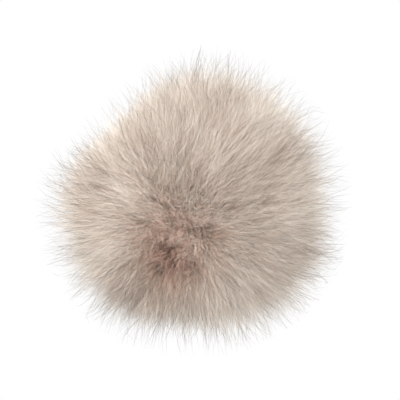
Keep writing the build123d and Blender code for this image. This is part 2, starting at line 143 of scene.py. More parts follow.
# Painted shade: the hair is coloured darker in a patch under the crown, standing in for the shade that
# falls there.
UNDER_CROWN = CROWN + np.array([-0.04, 0, -math.tan(math.radians(15.0))])
UNDER_CROWN /= np.linalg.norm(UNDER_CROWN)
UNDER_CROWN_PAINTED_SHADE = 0.30
CROWN_WOOL_REACH = math.radians(30.0)


def unit(v):
    """Vectors scaled to length 1 along their last axis."""
    return v / np.maximum(np.linalg.norm(v, axis=-1, keepdims=True), 1e-12)


def smoothstep(x, low, high):
    t = np.clip((x - low) / (high - low), 0, 1)
    return t * t * (3 - 2 * t)


def full_turn(count):
    """Angles evenly spaced round a whole turn."""
    return np.linspace(0, math.tau, count, endpoint=False)


def waves(points, wavelength, seed, channels=3, terms=7):
    """A smooth random field at the points, about -1 to 1, that changes over a wavelength."""
    rng = np.random.default_rng(seed)
    k = rng.normal(size=(channels, terms, 3)) * (math.tau / wavelength) / 1.7
    phase = rng.uniform(0, math.tau, size=(channels, terms))
    swing = np.sin(np.einsum("nd,ctd->nct", points, k) + phase)
    return swing.sum(2) / math.sqrt(terms / 2) * 0.6


def put_in_scene(name, data):
    thing = bpy.data.objects.new(name, data)
    bpy.context.scene.collection.objects.link(thing)
    return thing


def make_piece(mesh, material, body, slot, *replaced):
    """Makes a mesh a piece of the object: on a body, and in place of the CAD nodes named."""
    mesh.materials.append(material)
    piece = put_in_scene(mesh.name, mesh)
    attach(piece, body)
    if replaced:
        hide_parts(*replaced)
    return piece


def set_uv(mesh, u, v):
    layer = mesh.uv_layers.new(name=STRAND_UV)
    layer.data.foreach_set("uv", np.stack([u, v], axis=-1).astype(np.float32).ravel())


# ---- Materials ----


def set_inputs(node, values):
    for name, value in values.items():
        node.inputs[name].default_value = value


class Tree:
    """A small helper for wiring a material's nodes."""

    def __init__(self, name):
        self.material = bpy.data.materials.new(name)
        self.material.use_nodes = True
        self.nodes = self.material.node_tree.nodes
        self.links = self.material.node_tree.links
        self.bsdf = self.nodes["Principled BSDF"]

    def add(self, kind, **settings):
        node = self.nodes.new("ShaderNode" + kind)
        for key, value in settings.items():
            setattr(node, key, value)
        return node

    def link(self, source, target):
        self.links.new(source, target)

    def ramp(self, source, stops):
        node = self.add("ValToRGB")
        elements = node.color_ramp.elements
        while len(elements) < len(stops):
            elements.new(0.5)
        for element, (position, colour) in zip(elements, stops):
            element.position = position
            element.color = (*colour, 1.0)
        self.link(source, node.inputs["Fac"])
        return node.outputs["Color"]

    def mix(self, factor, a, b, blend="MIX"):
        node = self.add("Mix", data_type="RGBA", blend_type=blend)
        inputs = [s for s in node.inputs if s.enabled]
        for socket, value in zip(inputs, (factor, a, b)):
            if hasattr(value, "links"):
                self.link(value, socket)
            elif isinstance(value, (int, float)):
                socket.default_value = value
            else:
                socket.default_value = (*value, 1.0)
        return [s for s in node.outputs if s.enabled][0]


def srgb(r, g, b):
    """A colour given in 0-255 display values, as linear light."""
    out = []
    for value in (r, g, b):
        v = value / 255
        out.append(v / 12.92 if v <= 0.04045 else ((v + 0.055) / 1.055) ** 2.4)
    return tuple(out)


def display(stops):
    """A ramp's stops, given with 0-255 display values, as linear light."""
    return [(position, srgb(*colour)) for position, colour in stops]


def hair_material(name, pale, dark):
    """Hair coloured by its strand's UV: u is the strand's tone from pale to dark, v runs from
    root to tip."""
    tree = Tree(name)
    uv = tree.add("UVMap", uv_map=STRAND_UV)
    parts = tree.add("SeparateXYZ")
    tree.link(uv.outputs["UV"], parts.inputs["Vector"])
    light = tree.ramp(parts.outputs["Y"], display(pale))
    deep = tree.ramp(parts.outputs["Y"], display(dark))
    colour = tree.mix(parts.outputs["X"], light, deep)
    tree.link(colour, tree.bsdf.inputs["Base Color"])
    set_inputs(tree.bsdf, {"Roughness": 0.62, "Specular IOR Level": 0.3})
    return tree.material


# ---- Fur ----

STRAND_UV = "OFBake"  # the export bakes colours into this map, so all strands share it
GORES = ("top", "right", "bottom", "left")
SWIRL_WAVE, ROUGH_WAVE, TONE_WAVE = 48 * MM, 7.5 * MM, 26 * MM  # how far apart the waves lie
LEAN, COMBED_UP, SWIRL, STRAY = 0.66, 0.62, 0.42, 0.15
PARTING_FADE = 0.02, 0.6  # radians from the crown, over which the lean comes in
REAR_FADE = 1.75, 2.45  # radians from the nose, over which the hair straightens
REAR_STRAIGHTENING, REAR_STRAY_LESS = 0.55, 0.06
DROOP = 0.10


def sphere_roots(count, seed, farthest=WHOLE_COVER):
    """Evenly scattered unit normals, from the nose as far round as stated."""
    rng = np.random.default_rng(seed)
    i = np.arange(count) + rng.uniform(0, 1, count)
    height = 1 + (math.cos(farthest) - 1) * i / count
    turn = i * math.pi * (3 - math.sqrt(5)) + rng.normal(0, 0.02, count)
    ring = np.sqrt(np.clip(1 - height**2, 0, 1))
    return np.stack([ring * np.sin(turn), -height, ring * np.cos(turn)], axis=1)


def outline_factor(normals):
    """The pile's length varies round the ball: matted at the upper left, fuller at the lower
    right and lower left as the camera sees it."""
    lobes = [  # direction in degrees anticlockwise from the view's right, gain, spread in degrees
        (134, -0.76, 29),
        (316, 0.34, 27),
        (226, 0.17, 22),
        (268, -0.34, 15),
        (50, 0.06, 20),
        (184, 0.06, 15),
    ]
    gain = np.ones(len(normals))
    for turn, amount, spread in lobes:
        a = math.radians(turn)
        direction = math.cos(a) * VIEW_RIGHT + math.sin(a) * VIEW_UP
        away = np.degrees(np.arccos(np.clip(normals @ direction, -1, 1)))
        gain += amount * np.exp(-((away / spread) ** 2))
    return gain


def off_crown(normals):
    """Each root's angle from the crown, where the hair stands upright and parts."""
    return np.arccos(np.clip(normals @ CROWN, -1, 1))


def nearness(normals, centre):
    """1 at the centre of a patch as wide as the crown's, fading to 0."""
    away = np.degrees(np.arccos(np.clip(normals @ centre, -1, 1)))
    return np.exp(-((away / CROWN_SPREAD) ** 2))


def lay(normals, lean_scale, seed):
    """The direction each hair starts in and the direction its tip turns to. The hair leans away
    from the crown, is combed upwards over it, and stands straighter at the rear."""
    rng = np.random.default_rng(seed + 5)
    away = unit(normals * (normals @ CROWN)[:, None] - CROWN)
    swirl = waves(normals * BACKING_R, SWIRL_WAVE, 401)
    rough = waves(normals * BACKING_R, ROUGH_WAVE, 402)
    rear = smoothstep(np.arccos(np.clip(-normals[:, 1], -1, 1)), *REAR_FADE)
    lean = LEAN * smoothstep(off_crown(normals), *PARTING_FADE) * (1 - REAR_STRAIGHTENING * rear)
    combed = VIEW_UP * (COMBED_UP * nearness(normals, CROWN))[:, None]
    side = unit(np.cross(normals, away))
    tangent = unit(away + side * swirl[:, :1] * SWIRL)
    stray = rng.normal(size=normals.shape) * (STRAY - REAR_STRAY_LESS * rear)[:, None]
    start = unit(
        normals + combed + tangent * (lean * 0.5 * lean_scale)[:, None] + rough * 0.18 + stray
    )
    finish = unit(
        normals * 0.9
        + combed
        + tangent * (lean * 1.3 * lean_scale)[:, None]
        + rough * 0.42
        + stray * 2.2
    )
    return start, finish


def hair_paths(normals, length, start, finish, curl, steps, seed):
    """Points along each hair, from root to tip, in the row frame."""
    rng = np.random.default_rng(seed)
    count = len(normals)
    s = np.linspace(0, 1, steps + 1)
    paths = np.empty((count, steps + 1, 3))
    paths[:, 0] = BALL + normals * BACKING_R
    wiggle = rng.normal(size=(count, 3)) * curl
    second = rng.normal(size=(count, 3)) * curl
    gravity = np.array([0, 0, -DROOP])
    for i in range(steps):
        m = (s[i] + s[i + 1]) / 2
        heading = unit(
            start * (1 - m)
            + finish * m
            + gravity * m**1.5
            + wiggle * math.sin(2.4 * math.pi * m)
            + second * m
        )
        paths[:, i + 1] = paths[:, i] + heading * (length / steps)[:, None]
    return paths


def clump(paths, centres, strength, power):
    """Draws hairs towards the line of the hair at the centre of their tuft, more and more to the
    tip, and leaves each its own length."""
    tree = KDTree(len(centres))
    for i, p in enumerate(centres):
        tree.insert(p[0], i)
    tree.balance()
    nearest = np.array([tree.find(Vector(p))[1] for p in paths[:, 0]])
    head = centres[nearest]
    ratio = path_length(paths) / path_length(head)
    target = head[:, :1] + (head - head[:, :1]) * ratio[:, None, None]
    s = np.linspace(0, 1, paths.shape[1])[None, :, None]
    pull = strength[nearest][:, None, None] * s**power
    return paths * (1 - pull) + target * pull


def path_length(paths):
    return np.linalg.norm(np.diff(paths, axis=1), axis=2).sum(1)


def blocked_by_hardware(paths):
    """Where a hair's points are in the way of the nut, the cord lock's path or the cord's tails."""
    ring = np.hypot(paths[..., 0], paths[..., 2])
    at_nut = (ring < NUT_R + 2.2 * MM) & (paths[..., 1] > NUT_LOW.y - 4 * MM)
    from_lock = paths - LOCK_CENTRE
    along = from_lock @ TAIL_ALONG
    up = from_lock @ TAIL_UP
    sideways = np.abs(from_lock[..., 0])
    at_lock = (along > -14 * MM) & (along < 22 * MM) & (np.abs(up) < 15 * MM) & (sideways < 8.5 * MM)
    at_tails = (along > -44 * MM) & (np.abs(up - 2.5 * MM) < 3.5 * MM) & (sideways < 4.2 * MM)
    return at_nut | at_lock | at_tails


def keep_clear(paths):
    """Shortens the hairs that would reach the hardware, and leaves out those rooted beside it."""
    blocked = blocked_by_hardware(paths)
    steps = paths.shape[1] - 1
    first = np.where(blocked.any(1), blocked.argmax(1), steps + 1)
    keep = first > 1
    share = np.clip((first - 1) / steps, 0, 1)[keep]
    whole = paths[keep]
    out = whole.copy()
    for row in np.nonzero(share < 1)[0]:
        s = np.linspace(0, steps * share[row], steps + 1)
        for axis in range(3):
            out[row, :, axis] = np.interp(s, np.arange(steps + 1), whole[row, :, axis])
    return out, keep


def strand_faces(rings):
    """The faces of one strand: for each corner, its vertex and the ring that it lies on, and for
    each face its number of corners."""
    tip = rings * 3
    faces, levels = [], []
    for r in range(rings - 1):
        for c in range(3):
            d = (c + 1) % 3
            faces.append([r * 3 + c, r * 3 + d, (r + 1) * 3 + d, (r + 1) * 3 + c])
            levels.append([r, r, r + 1, r + 1])
    last = (rings - 1) * 3
    for c in range(3):
        faces.append([last + c, last + (c + 1) % 3, tip])
        levels.append([rings - 1, rings - 1, rings])
    faces.append([2, 1, 0])
    levels.append([0, 0, 0])
    return np.concatenate(faces), np.concatenate(levels), np.array([len(face) for face in faces])


def strand_vertices(paths, width, taper):
    """Three points round each point of a strand but its last, which is its tip."""
    count, points, _ = paths.shape
    heading = unit(np.diff(paths, axis=1))
    across = unit(np.cross(heading, ANY_WAY))
    over = np.cross(heading, across)
    s = np.arange(points - 1) / (points - 1)
    radius = (width[:, None] / 2) * (1 - taper * s[None, :] ** 1.6)
    corners = np.arange(3) * (math.tau / 3)
    ring = (
        np.cos(corners)[None, None, :, None] * across[:, :, None, :]
        + np.sin(corners)[None, None, :, None] * over[:, :, None, :]
    )
    skin = paths[:, :-1, None, :] + ring * radius[:, :, None, None]
    return np.concatenate([skin.reshape(count, -1, 3), paths[:, -1:]], axis=1)


def strand_mesh(name, paths, width, tone, taper):
    """Hairs or threads as three-sided tubes that end in a point, as one mesh."""
    rings = paths.shape[1] - 1
    vertices = strand_vertices(paths, width, taper)
    count, per, _ = vertices.shape
    pattern, levels, sizes = strand_faces(rings)
    loops = (np.arange(count)[:, None] * per + pattern[None, :]).ravel()
    starts = np.concatenate([[0], np.cumsum(sizes)[:-1]])
    starts = (np.arange(count)[:, None] * sizes.sum() + starts[None, :]).ravel()
    mesh = bpy.data.meshes.new(name)
    mesh.vertices.add(count * per)
    mesh.vertices.foreach_set("co", vertices.astype(np.float32).ravel())
    mesh.loops.add(len(loops))
    mesh.loops.foreach_set("vertex_index", loops.astype(np.int32))
    mesh.polygons.add(len(starts))
    mesh.polygons.foreach_set("loop_start", starts.astype(np.int32))
    mesh.polygons.foreach_set("use_smooth", np.ones(len(starts), bool))
    side = np.where(pattern % 3 == 0, -0.006, 0.006)  # gives each strand's UV some width
    u = np.clip(tone, 0.01, 0.99)[:, None] + side[None, :]
    v = np.broadcast_to(0.01 + 0.98 * levels / rings, u.shape)
    set_uv(mesh, u, v)
    mesh.update(calc_edges=True)
    return mesh


def gore_of(normals):
    """Which gore each hair grows from, as an index into GORES."""
    turn = np.degrees(np.arctan2(normals[:, 0], normals[:, 2]))
    return (np.floor((turn + 45) / 90).astype(int)) % 4


@dataclass
class Coat:
    """One kind of hair: sizes in millimetres, tones from 0, pale, to 1, dark."""

    name: str
    count: int
    seed: int
    material: object
    tufts: list
    shortest: float
    longest: float
    width: float
    curl: float
    lean: float
    tone: float
    tone_spread: float = 0.3
    tone_patches: float = 0.16
    crown_tone: float = 0.0
    rarity: float = 1.0  # over 1 makes the longest hairs the rarest
    taper: float = 0.8  # how much of its width a hair loses by its tip
    crown_thinning: float = 0.0  # the share left out at the crown
    wool_only: bool = False  # grows only where the wool shows
    steps: int = 4

    def lengths(self, normals, seed):
        rng = np.random.default_rng(seed)
        share = rng.uniform(size=len(normals)) ** self.rarity
        length = (self.shortest + (self.longest - self.shortest) * share) * MM
        return length * outline_factor(normals) * (1 - CROWN_SHORTENING * nearness(normals, CROWN))

    def paths(self, normals, curl, seed):
        start, finish = lay(normals, self.lean, seed)
        length = self.lengths(normals, seed + 2)
        return hair_paths(normals, length, start, finish, curl, self.steps, seed + 1)

    def roots(self, farthest):
        """Scattered roots, thinned out at the crown or kept only where the wool shows."""
        normals = sphere_roots(self.count, self.seed, farthest)
        dice = np.random.default_rng(self.seed + 3).uniform(size=len(normals))
        if self.wool_only:
            left_out = 1 - nearness(normals, WOOL)
        else:
            left_out = self.crown_thinning * nearness(normals, CROWN)
        return normals[dice >= left_out]

    def tones(self, normals, patchy, rng):
        tones = self.tone + self.tone_spread * rng.normal(size=len(normals))
        tones += self.tone_patches * patchy + self.crown_tone * nearness(normals, CROWN)
        # painted shade: the hairs under the crown are coloured darker
        tones += UNDER_CROWN_PAINTED_SHADE * nearness(normals, UNDER_CROWN)
        return np.clip(tones, 0.02, 0.98)


@dataclass
class Tufts:
    """Where neighbouring hairs cling together towards their tips."""

    count: int
    seed: int
    weakest: float
    strongest: float
    power: float


def within_reach(paths):
    """Keeps hairs from dipping through the backing or reaching too far out."""
    from_centre = paths - BALL
    radius = np.linalg.norm(from_centre, axis=2, keepdims=True)
    return BALL + from_centre * np.clip(radius, BACKING_R, FARTHEST_HAIR) / radius


def grow(coat, farthest=WHOLE_COVER):
    """One coat of fur, split into pieces by gore, as far round from the nose as stated."""
    normals = coat.roots(farthest)
    patchy = waves(normals * BACKING_R, TONE_WAVE, 77)
    paths = coat.paths(normals, coat.curl, coat.seed)
    for tufts in coat.tufts:
        heads = sphere_roots(tufts.count, tufts.seed)
        head_paths = coat.paths(heads, coat.curl * 1.3, tufts.seed)
        rng = np.random.default_rng(tufts.seed)
        strength = rng.uniform(tufts.weakest, tufts.strongest, tufts.count)
        paths = clump(paths, head_paths, strength, tufts.power)
    paths, kept = keep_clear(within_reach(paths))
    normals = normals[kept]
    rng = np.random.default_rng(coat.seed + 9)
    tones = coat.tones(normals, patchy[kept, 1], rng)
    widths = coat.width * MM * rng.uniform(0.75, 1.25, len(normals))
    gore = gore_of(normals)
    for index, side in enumerate(GORES):
        mine = np.nonzero(gore == index)[0]
        parts = math.ceil(len(mine) / STRANDS_PER_PIECE)
        for part in range(parts):
            some = mine[part::parts]
            name = f"{coat.name}_{side}" + (f"_{part + 1}" if parts > 1 else "")
            mesh = strand_mesh(name, paths[some], widths[some], tones[some], coat.taper)
            make_piece(mesh, coat.material, "base", "fur")


def undercoat_hair():
    return hair_material(
        "undercoat_hair",
        [(0.0, (158, 130, 114)), (0.5, (212, 191, 174)), (1.0, (228, 212, 198))],
        [(0.0, (124, 94, 81)), (0.5, (178, 147, 130)), (1.0, (202, 173, 156))],
    )


def crown_hair():
    return hair_material(
        "crown_hair",
        [(0.0, (170, 134, 118)), (0.5, (214, 184, 166)), (1.0, (230, 208, 192))],
        [(0.0, (122, 88, 77)), (0.5, (176, 138, 122)), (1.0, (196, 162, 146))],
    )


def pile_hair():
    return hair_material(
        "pile_hair",
        [(0.0, (180, 158, 142)), (0.35, (234, 225, 214)), (0.75, (237, 230, 220)),
         (1.0, (222, 214, 204))],
        [(0.0, (136, 108, 93)), (0.5, (194, 173, 156)), (1.0, (176, 160, 147))],
    )


def guard_hair():
    return hair_material(
        "guard_hair",
        [(0.0, (176, 154, 138)), (0.5, (218, 205, 192)), (0.75, (168, 155, 144)),
         (1.0, (112, 102, 97))],
        [(0.0, (130, 104, 90)), (0.45, (168, 147, 132)), (0.65, (82, 70, 65)),
         (1.0, (40, 36, 38))],
    )


FINE_TUFTS = Tufts(34000, 901, 0.15, 0.8, 1.3)


def short_coats():
    """The undercoat, and the pinkish wool that shows through the crown."""
    wool_tufts = Tufts(9000, 903, 0.5, 0.9, 1.0)
    grow(Coat(
        "undercoat", 44000, 11, undercoat_hair(), [FINE_TUFTS], shortest=11, longest=18, width=0.17,
        curl=0.38, lean=0.75, tone=0.34, tone_spread=0.26, tone_patches=0.14, crown_tone=0.35,
        steps=3,
    ))
    grow(Coat(
        "crown_wool", 17000, 41, crown_hair(), [wool_tufts], shortest=12, longest=21, width=0.15,
        curl=0.30, lean=0.6, tone=0.66, wool_only=True, steps=3,
    ), farthest=CROWN_WOOL_REACH)


def long_coats():
    """The pile, the darker guard hairs that lie over it and the sparse wisps that stand out."""
    coarse = Tufts(2200, 902, 0.0, 0.22, 1.8)
    wisps = Tufts(2600, 904, 0.1, 0.7, 1.2)
    grow(Coat(
        "pile", 92000, 21, pile_hair(), [FINE_TUFTS, coarse], shortest=13, longest=30.5, rarity=1.75,
        width=0.10, curl=0.28, lean=1.0, tone=0.33, tone_spread=0.26, tone_patches=0.18,
        crown_tone=0.48, crown_thinning=0.8,
    ))
    guard = guard_hair()
    grow(Coat(
        "guard", 7400, 31, guard, [wisps], shortest=18, longest=37, rarity=1.6, width=0.15,
        taper=0.65, curl=0.16, lean=0.9, tone=0.44, crown_tone=0.1, crown_thinning=1.0,
    ))
    grow(Coat(
        "halo", 1500, 51, guard, [], shortest=20, longest=38, rarity=1.7, width=0.15, taper=0.6,
        curl=0.14, lean=0.30, tone=0.46, crown_thinning=1.0,
    ))


# ---- Sheets, threads and stitches ----


def around(turn, radius, y):
    """Points at a turn from +Z towards +X, at a distance from the axis and at a height along it."""
    return np.stack(
        [radius * np.sin(turn), np.broadcast_to(y, np.shape(turn)), radius * np.cos(turn)], axis=-1
    )


def grid_quads(rows, columns, close_rows=False, close_columns=False):
    """The quads of a grid of points that are numbered row by row."""
    i = np.arange(rows if close_rows else rows - 1)
    j = np.arange(columns if close_columns else columns - 1)
    i, j = np.meshgrid(i, j, indexing="ij")
    down, right = (i + 1) % rows, (j + 1) % columns
    corners = [i * columns + j, i * columns + right, down * columns + right, down * columns + j]
    return np.stack(corners, axis=-1).reshape(-1, 4)


def add_piece(name, points, quads, tone, material, body, slot, *replaced):
    """A mesh piece on a body. Its UV keeps each point's tone, if given, from 0, hollow, to 1,
    raised: painted shade in the hollows and painted light on the raised points."""
    points = points.reshape(-1, 3)
    mesh = bpy.data.meshes.new(name)
    mesh.from_pydata(points.tolist(), [], quads.tolist())
    mesh.shade_smooth()
    if tone is not None:
        corner = quads.ravel()
        u = np.clip(tone.ravel()[corner], 0.01, 0.99)
        v = 0.05 + 0.9 * ((corner * 0.618) % 1.0)
        set_uv(mesh, u, v)
    return make_piece(mesh, material, body, slot, *replaced)


def relief_shade_material(name, stops, roughness, sheen=0.0):
    """A material coloured by how far each point is raised, which add_piece keeps in the UV:
    painted shade in the hollows and painted light on the raised points.
    """
    tree = Tree(name)
    uv = tree.add("UVMap", uv_map=STRAND_UV)
    parts = tree.add("SeparateXYZ")
    tree.link(uv.outputs["UV"], parts.inputs["Vector"])
    tree.link(tree.ramp(parts.outputs["X"], display(stops)), tree.bsdf.inputs["Base Color"])
    set_inputs(tree.bsdf, {"Roughness": roughness, "Sheen Weight": sheen})
    return tree.material


def tube(path, radii, sides, closed=False):
    """A round skin along a path, with one radius for each point of each ring of it. The rings
    are turned as little as the path allows."""
    heading = np.gradient(path, axis=0)
    if closed:
        heading = np.roll(path, -1, axis=0) - np.roll(path, 1, axis=0)
    heading = unit(heading)
    across = np.empty_like(path)
    side = np.cross(heading[0], ANY_WAY)
    for i, forward in enumerate(heading):
        side = side - forward * (side @ forward)
        side /= np.linalg.norm(side)
        across[i] = side
    over = np.cross(heading, across)
    a = np.arange(sides) * math.tau / sides
    spokes = np.cos(a)[None, :, None] * across[:, None] + np.sin(a)[None, :, None] * over[:, None]
    return path[:, None] + spokes * radii[..., None]


def end_caps(rows, sides):
    """Quads that close both ends of a tube with an even number of sides."""
    caps = []
    for start, flip in ((0, 1), ((rows - 1) * sides, -1)):
        for i in range(sides // 2 - 1):
            quad = [start + i, start + i + 1, start + sides - 2 - i, start + sides - 1 - i]
            caps.append(quad[::flip])
    return np.array(caps)


def tube_quads(rows, sides):
    """The quads of a tube that is closed at both ends."""
    return np.concatenate([grid_quads(rows, sides, close_columns=True), end_caps(rows, sides)])


def stitches(name, centres, along, out, length, width, material, slot):
    """Short rounded threads lying on a seam: each has a centre, the way it runs and the way it
    stands out from the fabric."""
    rings, sides = 5, 6
    reach = np.sin(np.linspace(0.25, math.pi - 0.25, rings))
    place = -np.cos(np.linspace(0.25, math.pi - 0.25, rings)) * length / 2
    a = np.arange(sides) * math.tau / sides
    side = np.cross(along, out)
    centre = centres[:, None, None] + along[:, None, None] * place[None, :, None, None]
    spokes = (
        side[:, None, None] * (np.cos(a) * width / 2)[None, None, :, None]
        + out[:, None, None] * (np.sin(a) * width / 2)[None, None, :, None]
    )
    points = centre + spokes * reach[None, :, None, None]
    firsts = np.arange(len(centres)) * rings * sides
    quads = (tube_quads(rings, sides)[None] + firsts[:, None, None]).reshape(-1, 4)
    # painted light and shade: each stitch is coloured lighter on the side that stands out from the
    # fabric and darker on the side against it
    tone = 0.5 + 0.4 * np.sin(a)[None, None, :] * np.ones((len(centres), rings, 1))
    return add_piece(name, points, quads, tone, material, "base", slot)


def shell(name, radii, theta, turn, relief, material, body, slot, *replaced):
    """A shell round the ball's centre, between two radii, over the angles theta from the nose and
    the turns round the axis. Relief gives its points' tone, which paints shade into the hollows,
    and how far they are pushed out."""
    whole_turn = turn[-1] - turn[0] > math.tau - 0.2
    m = len(theta)
    there_and_back = np.concatenate([theta, theta[::-1]])
    turns, thetas = np.meshgrid(turn, there_and_back, indexing="ij")
    normals = np.stack(
        [np.sin(thetas) * np.sin(turns), -np.cos(thetas), np.sin(thetas) * np.cos(turns)], axis=-1
    )
    radius = np.where(np.arange(2 * m) < m, radii[0], radii[1])
    tone, push = relief(normals.reshape(-1, 3), turns.ravel())
    push = push.reshape(turns.shape) * np.where(np.arange(2 * m) < m, -1, 1)
    points = BALL + normals * (radius[None, :] + push)[..., None]
    quads = grid_quads(len(turn), 2 * m, close_rows=whole_turn, close_columns=True)
    if not whole_turn:
        i = np.arange(m - 1)
        cap = np.stack([i, i + 1, 2 * m - 2 - i, 2 * m - 1 - i], axis=1)
        quads = np.concatenate([quads, cap[:, ::-1], cap + (len(turn) - 1) * 2 * m])
    return add_piece(name, points, quads, tone, material, body, slot, *replaced)


# ---- The cover's backing, hem, pull tab and drawcord ----


def backing():
    """The knitted backing of the four gores, with a ridge where each pair is sewn together."""
    material = relief_shade_material(
        "knitted_backing", [(0.0, (84, 62, 52)), (1.0, (138, 108, 92))], 0.9, 0.2
    )
    theta = np.linspace(0.004, WHOLE_COVER, 110)
    for index, side in enumerate(GORES):
        middle = index * math.pi / 2
        turn = np.linspace(-math.pi / 4, math.pi / 4, 64) + middle

        def knit(normals, turns, middle=middle):
            edge = np.abs(turns - middle) / (math.pi / 4)
            seam = np.exp(-(((1 - edge) * 14) ** 2))
            loops = np.sin(np.arccos(-normals[:, 1]) * 210) * np.sin(turns * 130)
            # painted shade: the knit is coloured darker in its hollows and lighter on its loops; the
            # seams are coloured darker
            return 0.5 + 0.35 * loops - 0.3 * seam, (0.06 * loops + 0.5 * seam) * MM

        shell(f"backing_{side}", (BACKING_R - BACKING_THICK, BACKING_R), theta, turn, knit,
              material, "base", "fur", f"fur_gore_{side}")


def gathers(turn):
    """How far the hem is puffed out between its gathers, 0 in a crease and 1 on a fold."""
    uneven = 1.3 * np.sin(5 * turn + 0.4) + 0.9 * np.sin(11 * turn + 1.0)
    return np.abs(np.sin(19 * turn + uneven)) ** 0.6


def hem_channel(tape):
    """The gathered tube of tape that the cord runs in, open at both sides of its mouth."""
    sides = 28
    turn = np.linspace(-math.pi + HEM_MOUTH, math.pi - HEM_MOUTH, HEM_ROWS)
    t, a = np.meshgrid(turn, np.arange(sides) * math.tau / sides, indexing="ij")
    fold = gathers(t + 0.02 * np.sin(a))
    twill = np.sin(TWILL_RIBS * t + 7 * a)
    outside = HEM_TUBE_R * (0.88 + 0.11 * fold) + 0.03 * MM * twill
    points = [
        around(t, HEM_RING_R + radius * np.cos(a), HEM_Y + radius * np.sin(a))
        for radius in (outside, np.full_like(t, HEM_CHANNEL_R))
    ]
    # painted shade: the tape's outside is coloured darker in the creases of its gathers and between the
    # twill's ribs, and lighter on the folds and ribs; the inside of the channel is coloured dark all
    # over
    tones = [0.25 + 0.5 * fold + 0.2 * twill, np.full_like(t, 0.1)]
    skin = grid_quads(HEM_ROWS, sides, close_columns=True)
    one = HEM_ROWS * sides
    ends = []
    for start, flip in ((0, -1), (one - sides, 1)):
        i = start + np.arange(sides)
        j = start + (np.arange(sides) + 1) % sides
        ends.append(np.stack([i, j, j + one, i + one], axis=1)[:, ::flip])
    quads = np.concatenate([skin, skin[:, ::-1] + one, *ends])
    add_piece("hem_channel", np.stack(points), quads, np.stack(tones), tape, "base", "hem_tape",
              "hem")


def skirt_out():
    """The way the skirt faces, away from the axis and along it."""
    slope = unit(SKIRT_END - SKIRT_TOP)
    return np.array([slope[1], -slope[0]])


def on_skirt(turn, share, lift):
    """Points on the skirt, at a share of the way down it and lifted off its middle."""
    radius, height = (
        SKIRT_TOP[i] + (SKIRT_END[i] - SKIRT_TOP[i]) * share + skirt_out()[i] * lift for i in (0, 1)
    )
    return around(turn, radius, height)


def hem_skirt(tape):
    """The sheet that joins the channel to the backing."""
    levels = 9
    down = np.linspace(0, 1, levels)
    share = np.concatenate([down, down[::-1]])
    half = np.where(np.arange(2 * levels) < levels, -SKIRT_HALF_THICK, SKIRT_HALF_THICK)
    turn = full_turn(HEM_ROWS)
    t, c = np.meshgrid(turn, share, indexing="ij")
    fold = gathers(t)
    points = on_skirt(t, c, half[None, :] + (fold - 0.5) * c * SKIRT_PUFF)
    # painted shade: the skirt is coloured darker in the creases of its gathers and lighter on the folds;
    # the twill's ribs are a pattern in the colour
    tone = 0.3 + 0.45 * fold * c + 0.2 * np.sin(TWILL_RIBS * t + 9 * c)
    quads = grid_quads(HEM_ROWS, 2 * levels, close_rows=True, close_columns=True)
    add_piece("hem_skirt", points, quads, tone, tape, "base", "hem_tape", "hem")


def hem_stitches():
    """Two rows of stitches round the skirt."""
    thread = relief_shade_material("hem_thread", [(0.0, (84, 72, 62)), (1.0, (146, 130, 114))], 0.7)
    out = skirt_out()
    for row, share in enumerate((0.45, 0.62)):
        turn = full_turn(58) + row * 0.03
        lift = SKIRT_HALF_THICK + 0.06 * MM + (gathers(turn) - 0.5) * share * SKIRT_PUFF
        along = np.stack([np.cos(turn), 0 * turn, -np.sin(turn)], axis=1)
        outward = np.stack([out[0] * np.sin(turn), 0 * turn + out[1], out[0] * np.cos(turn)], axis=1)
        stitches(f"hem_stitches_{row + 1}", on_skirt(turn, share, lift), along, outward, 1.5 * MM,
                 0.34 * MM, thread, "hem_tape")


def hem():
    """The cover's hem: twill tape gathered by the elastic cord in its channel, on a short skirt
    that is sewn to the backing."""
    tape = relief_shade_material(
        "twill_tape", [(0.0, (30, 26, 24)), (0.5, (66, 57, 50)), (1.0, (92, 81, 72))],
        0.88, 0.25,
    )
    hem_channel(tape)
    hem_skirt(tape)
    hem_stitches()


def tab_loop(rows):
    """The middle of the webbing round the loop, which is pinched at its root and open at its tip,
    and how far each point is along it."""
    fine = full_turn(2000)
    along = TAB_REACH * np.sign(np.cos(fine)) * np.abs(np.cos(fine)) ** 0.55
    gap = 0.42 * MM + 0.58 * MM * smoothstep(along / TAB_REACH, -0.5, 0.6)
    rise = gap * np.sign(np.sin(fine)) * np.abs(np.sin(fine)) ** 0.45
    travelled = np.concatenate([[0], np.cumsum(np.hypot(np.diff(along), np.diff(rise)))])
    at = np.linspace(0, travelled[-1], rows, endpoint=False)
    along, rise = np.interp(at, travelled, along), np.interp(at, travelled, rise)
    return TAB_CENTRE + TAB_FORWARD * along[:, None] + TAB_UP * rise[:, None], at


